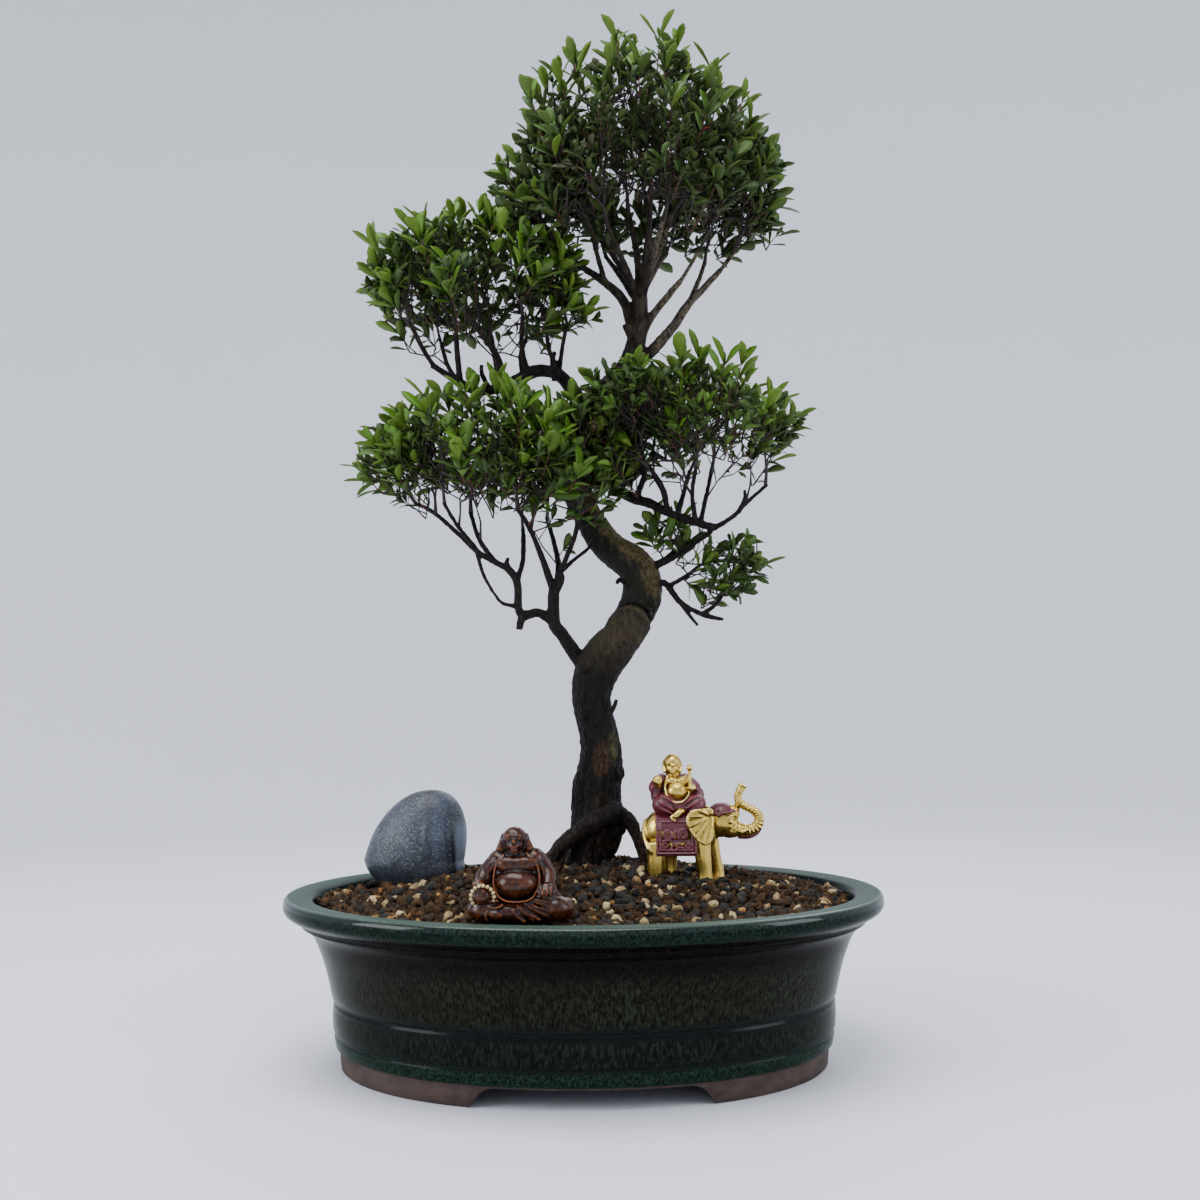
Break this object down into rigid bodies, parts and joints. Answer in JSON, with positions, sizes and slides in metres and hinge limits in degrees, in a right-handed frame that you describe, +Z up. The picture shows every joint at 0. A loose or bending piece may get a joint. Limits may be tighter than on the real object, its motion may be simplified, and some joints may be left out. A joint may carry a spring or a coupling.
{
  "type": "brush cherry bonsai in an oval pot",
  "caption": "Brush cherry bonsai with a curving trunk and leafy pads, planted in a low oval glazed pot with a stone and small figures on the soil.",
  "frame": {"origin": "centre of the pot's bounding box on the surface that the pot's foot stands on", "axes": "+Z up, +X to the right as seen from the front, the front of the pot towards -Y; the pot's long axis is along X"},
  "size_m": [0.406, 0.314, 0.7265],
  "materials": {
    "pot_glaze": "dark bottle-green glaze with fine streaks over an unglazed mauve-brown foot",
    "screen": "black mesh",
    "soil": "loose baked-clay, lava and pumice grains",
    "bark": "dark grey-brown bark with lichen",
    "stone": "blue-grey speckled, smooth",
    "figure_glaze": "dark red-brown gloss worn to orange on high spots",
    "rider_glaze": "gold with maroon cloth, gloss",
    "foliage": "glossy green leaves on fine brown twigs"
  },
  "bodies": {
    "root": {"pot": "pot_glaze", "drain_screen_left": "screen", "drain_screen_right": "screen", "soil": "soil", "trunk": "bark", "stone": "stone", "seated_figure": "figure_glaze", "elephant_rider": "rider_glaze", "crown_spray_1": "foliage", "crown_spray_2": "foliage", "crown_spray_3": "foliage", "crown_spray_4": "foliage", "crown_spray_5": "foliage", "crown_spray_6": "foliage", "crown_spray_7": "foliage", "crown_spray_8": "foliage", "upper_left_spray_1": "foliage", "upper_left_spray_2": "foliage", "upper_left_spray_3": "foliage", "upper_left_spray_4": "foliage", "upper_left_spray_5": "foliage", "lower_left_spray_1": "foliage", "lower_left_spray_2": "foliage", "lower_left_spray_3": "foliage", "lower_left_spray_4": "foliage", "lower_left_spray_5": "foliage", "lower_left_spray_6": "foliage", "right_spray_1": "foliage", "right_spray_2": "foliage", "right_spray_3": "foliage", "right_spray_4": "foliage", "right_spray_5": "foliage", "lower_right_spray_1": "foliage", "lower_right_spray_2": "foliage"}
  },
  "joints": []
}
